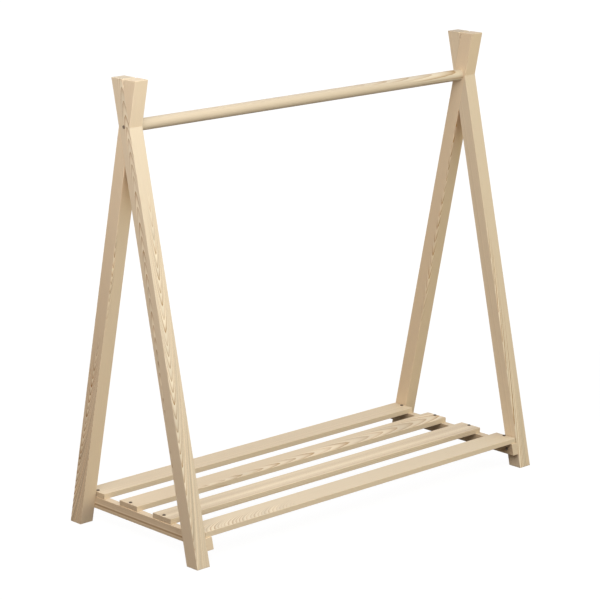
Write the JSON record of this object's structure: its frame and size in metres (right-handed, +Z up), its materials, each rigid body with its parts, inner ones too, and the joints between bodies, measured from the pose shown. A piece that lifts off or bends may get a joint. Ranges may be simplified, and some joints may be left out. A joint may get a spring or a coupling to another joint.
{
  "type": "open frame wardrobe",
  "caption": "Open wooden clothes rack: crossed-leg end frames carry a round hanging rail and a low slatted shelf for shoes or boxes.",
  "frame": {"origin": "on the floor, below the middle of the hanging rail", "axes": "+X along the hanging rail, +Y from front to back, +Z up"},
  "size_m": [1.2048, 0.4994, 1.17],
  "materials": {
    "wood": "planed and bare, pale softwood with soft growth-ring figure",
    "screw_steel": "dark phosphated steel"
  },
  "bodies": {
    "root": {"back_left_batten_screw": "screw_steel", "back_left_leg": "wood", "back_right_batten_screw": "screw_steel", "back_right_leg": "wood", "front_left_batten_screw": "screw_steel", "front_left_leg": "wood", "front_right_batten_screw": "screw_steel", "front_right_leg": "wood", "hanging_rail": "wood", "left_batten": "wood", "left_rail_screw": "screw_steel", "right_batten": "wood", "right_rail_screw": "screw_steel", "shelf_slat_1": "wood", "shelf_slat_2": "wood", "shelf_slat_3": "wood", "shelf_slat_4": "wood", "slat_1_left_screw": "screw_steel", "slat_1_right_screw": "screw_steel", "slat_2_left_screw": "screw_steel", "slat_2_right_screw": "screw_steel", "slat_3_left_screw": "screw_steel", "slat_3_right_screw": "screw_steel", "slat_4_left_screw": "screw_steel", "slat_4_right_screw": "screw_steel"}
  },
  "joints": []
}
